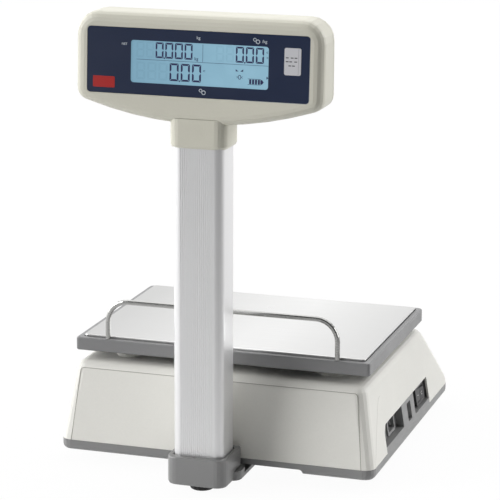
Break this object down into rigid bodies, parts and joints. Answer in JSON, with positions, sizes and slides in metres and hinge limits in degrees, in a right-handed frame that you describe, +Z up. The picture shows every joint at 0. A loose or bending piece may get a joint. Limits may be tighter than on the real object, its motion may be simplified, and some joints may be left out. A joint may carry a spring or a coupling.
{
  "type": "retail price scale",
  "caption": "Bench price scale with a steel platter, a guard rail, a sloping operator keypad and a customer display on a column.",
  "frame": {"origin": "on the floor, in the middle of the outline of the whole object", "axes": "+Z up; -Y towards the customer, +Y towards the operator; +X is the side with the mains inlet, the data socket and the switch"},
  "size_m": [0.3626, 0.4282, 0.5162],
  "materials": {
    "cream_plastic": "fine moulded texture, warm light grey",
    "grey_plastic": "fine moulded texture, mid grey",
    "black_plastic": "satin",
    "navy_film": "printed polycarbonate film, satin",
    "keypad_film": "printed polyester membrane, satin",
    "lcd_glass": "polished, lit from behind",
    "backlight_diffuser": "frosted",
    "circuit_board": "solder mask",
    "stainless_steel": "fine satin",
    "zinc_plated_steel": "bright zinc",
    "anodised_aluminium": "satin anodised",
    "cast_aluminium": "as cast",
    "black_rubber": "matte",
    "transformer_core": "varnished",
    "level_vial": "tinted, polished"
  },
  "bodies": {
    "scale_body": {"base_tray": "grey_plastic", "column_bracket": "grey_plastic", "top_cover": "cream_plastic", "customer_panel": "cream_plastic", "head_front_shell": "cream_plastic", "head_rear_shell": "cream_plastic", "head_neck": "cream_plastic", "keypad_panel": "keypad_film", "display_overlay": "navy_film", "customer_lcd": "lcd_glass", "operator_lcd": "lcd_glass", "lcd_backlight": "backlight_diffuser", "customer_display_board": "circuit_board", "operator_display_board": "circuit_board", "main_board": "circuit_board", "power_inlet": "grey_plastic", "serial_port": "grey_plastic", "switch_frame": "black_plastic", "battery": "black_plastic", "display_cable": "black_plastic", "power_transformer": "transformer_core", "load_cell": "anodised_aluminium", "column": "anodised_aluminium", "cell_spacer_lower": "zinc_plated_steel", "bubble_level": "level_vial", "cover_screw_1": "zinc_plated_steel", "cover_screw_2": "zinc_plated_steel", "cover_screw_3": "zinc_plated_steel", "cover_screw_4": "zinc_plated_steel", "column_screw_1": "zinc_plated_steel", "column_screw_2": "zinc_plated_steel", "head_screw_1": "zinc_plated_steel", "head_screw_2": "zinc_plated_steel", "head_screw_3": "zinc_plated_steel", "head_screw_4": "zinc_plated_steel"},
    "load_platform": {"load_frame": "cast_aluminium", "cell_spacer_upper": "zinc_plated_steel", "pan_cushion_1": "black_rubber", "pan_cushion_2": "black_rubber", "pan_cushion_3": "black_rubber", "pan_cushion_4": "black_rubber"},
    "pan": {"pan_carrier": "grey_plastic", "guard_rail": "stainless_steel"},
    "platter": {"platter": "stainless_steel"},
    "rocker": {"power_rocker": "black_plastic"},
    "foot_1_stem": {"foot_stud_1": "zinc_plated_steel"},
    "foot_1_wheel": {"foot_wheel_1": "black_plastic"},
    "foot_2_stem": {"foot_stud_2": "zinc_plated_steel"},
    "foot_2_wheel": {"foot_wheel_2": "black_plastic"},
    "foot_3_stem": {"foot_stud_3": "zinc_plated_steel"},
    "foot_3_wheel": {"foot_wheel_3": "black_plastic"},
    "foot_4_stem": {"foot_stud_4": "zinc_plated_steel"},
    "foot_4_wheel": {"foot_wheel_4": "black_plastic"},
    "foot_5_stem": {"foot_stud_5": "zinc_plated_steel"},
    "foot_5_wheel": {"foot_wheel_5": "black_plastic"}
  },
  "joints": [
    {"name": "load_deflection", "type": "slide", "parent": "scale_body", "child": "load_platform", "axis": [0, 0, -1], "range_m": [0, 0.00025], "stiffness_N_per_m": 590000},
    {"name": "pan_lift", "type": "slide", "parent": "load_platform", "child": "pan", "axis": [0, 0, 1], "range_m": [0, 0.08]},
    {"name": "platter_lift", "type": "slide", "parent": "pan", "child": "platter", "axis": [0, 0, 1], "range_m": [0, 0.08]},
    {"name": "power_rocker_press", "type": "hinge", "parent": "scale_body", "child": "rocker", "pos_m": [0.16884, 0.086, 0.043], "axis": [-0.1597, 0, 0.9872], "range_deg": [0, 14]},
    {"name": "foot_1_height", "type": "slide", "parent": "scale_body", "child": "foot_1_stem", "axis": [0, 0, -1], "range_m": [-0.001, 0.005]},
    {"name": "foot_1_turn", "type": "hinge", "parent": "foot_1_stem", "child": "foot_1_wheel", "pos_m": [0, -0.188, 0.004], "axis": [0, 0, -1], "range_deg": [-289, 1441]},
    {"name": "foot_2_height", "type": "slide", "parent": "scale_body", "child": "foot_2_stem", "axis": [0, 0, -1], "range_m": [-0.001, 0.005]},
    {"name": "foot_2_turn", "type": "hinge", "parent": "foot_2_stem", "child": "foot_2_wheel", "pos_m": [-0.14, -0.076, 0.004], "axis": [0, 0, -1], "range_deg": [-289, 1441]},
    {"name": "foot_3_height", "type": "slide", "parent": "scale_body", "child": "foot_3_stem", "axis": [0, 0, -1], "range_m": [-0.001, 0.005]},
    {"name": "foot_3_turn", "type": "hinge", "parent": "foot_3_stem", "child": "foot_3_wheel", "pos_m": [0.14, -0.076, 0.004], "axis": [0, 0, -1], "range_deg": [-289, 1441]},
    {"name": "foot_4_height", "type": "slide", "parent": "scale_body", "child": "foot_4_stem", "axis": [0, 0, -1], "range_m": [-0.001, 0.005]},
    {"name": "foot_4_turn", "type": "hinge", "parent": "foot_4_stem", "child": "foot_4_wheel", "pos_m": [-0.14, 0.169, 0.004], "axis": [0, 0, -1], "range_deg": [-289, 1441]},
    {"name": "foot_5_height", "type": "slide", "parent": "scale_body", "child": "foot_5_stem", "axis": [0, 0, -1], "range_m": [-0.001, 0.005]},
    {"name": "foot_5_turn", "type": "hinge", "parent": "foot_5_stem", "child": "foot_5_wheel", "pos_m": [0.14, 0.169, 0.004], "axis": [0, 0, -1], "range_deg": [-289, 1441]}
  ],
  "couplings": [
    {"joint": "foot_1_turn", "follows": "foot_1_height", "rad_per_m": 5026.5},
    {"joint": "foot_2_turn", "follows": "foot_2_height", "rad_per_m": 5026.5},
    {"joint": "foot_3_turn", "follows": "foot_3_height", "rad_per_m": 5026.5},
    {"joint": "foot_4_turn", "follows": "foot_4_height", "rad_per_m": 5026.5},
    {"joint": "foot_5_turn", "follows": "foot_5_height", "rad_per_m": 5026.5}
  ]
}
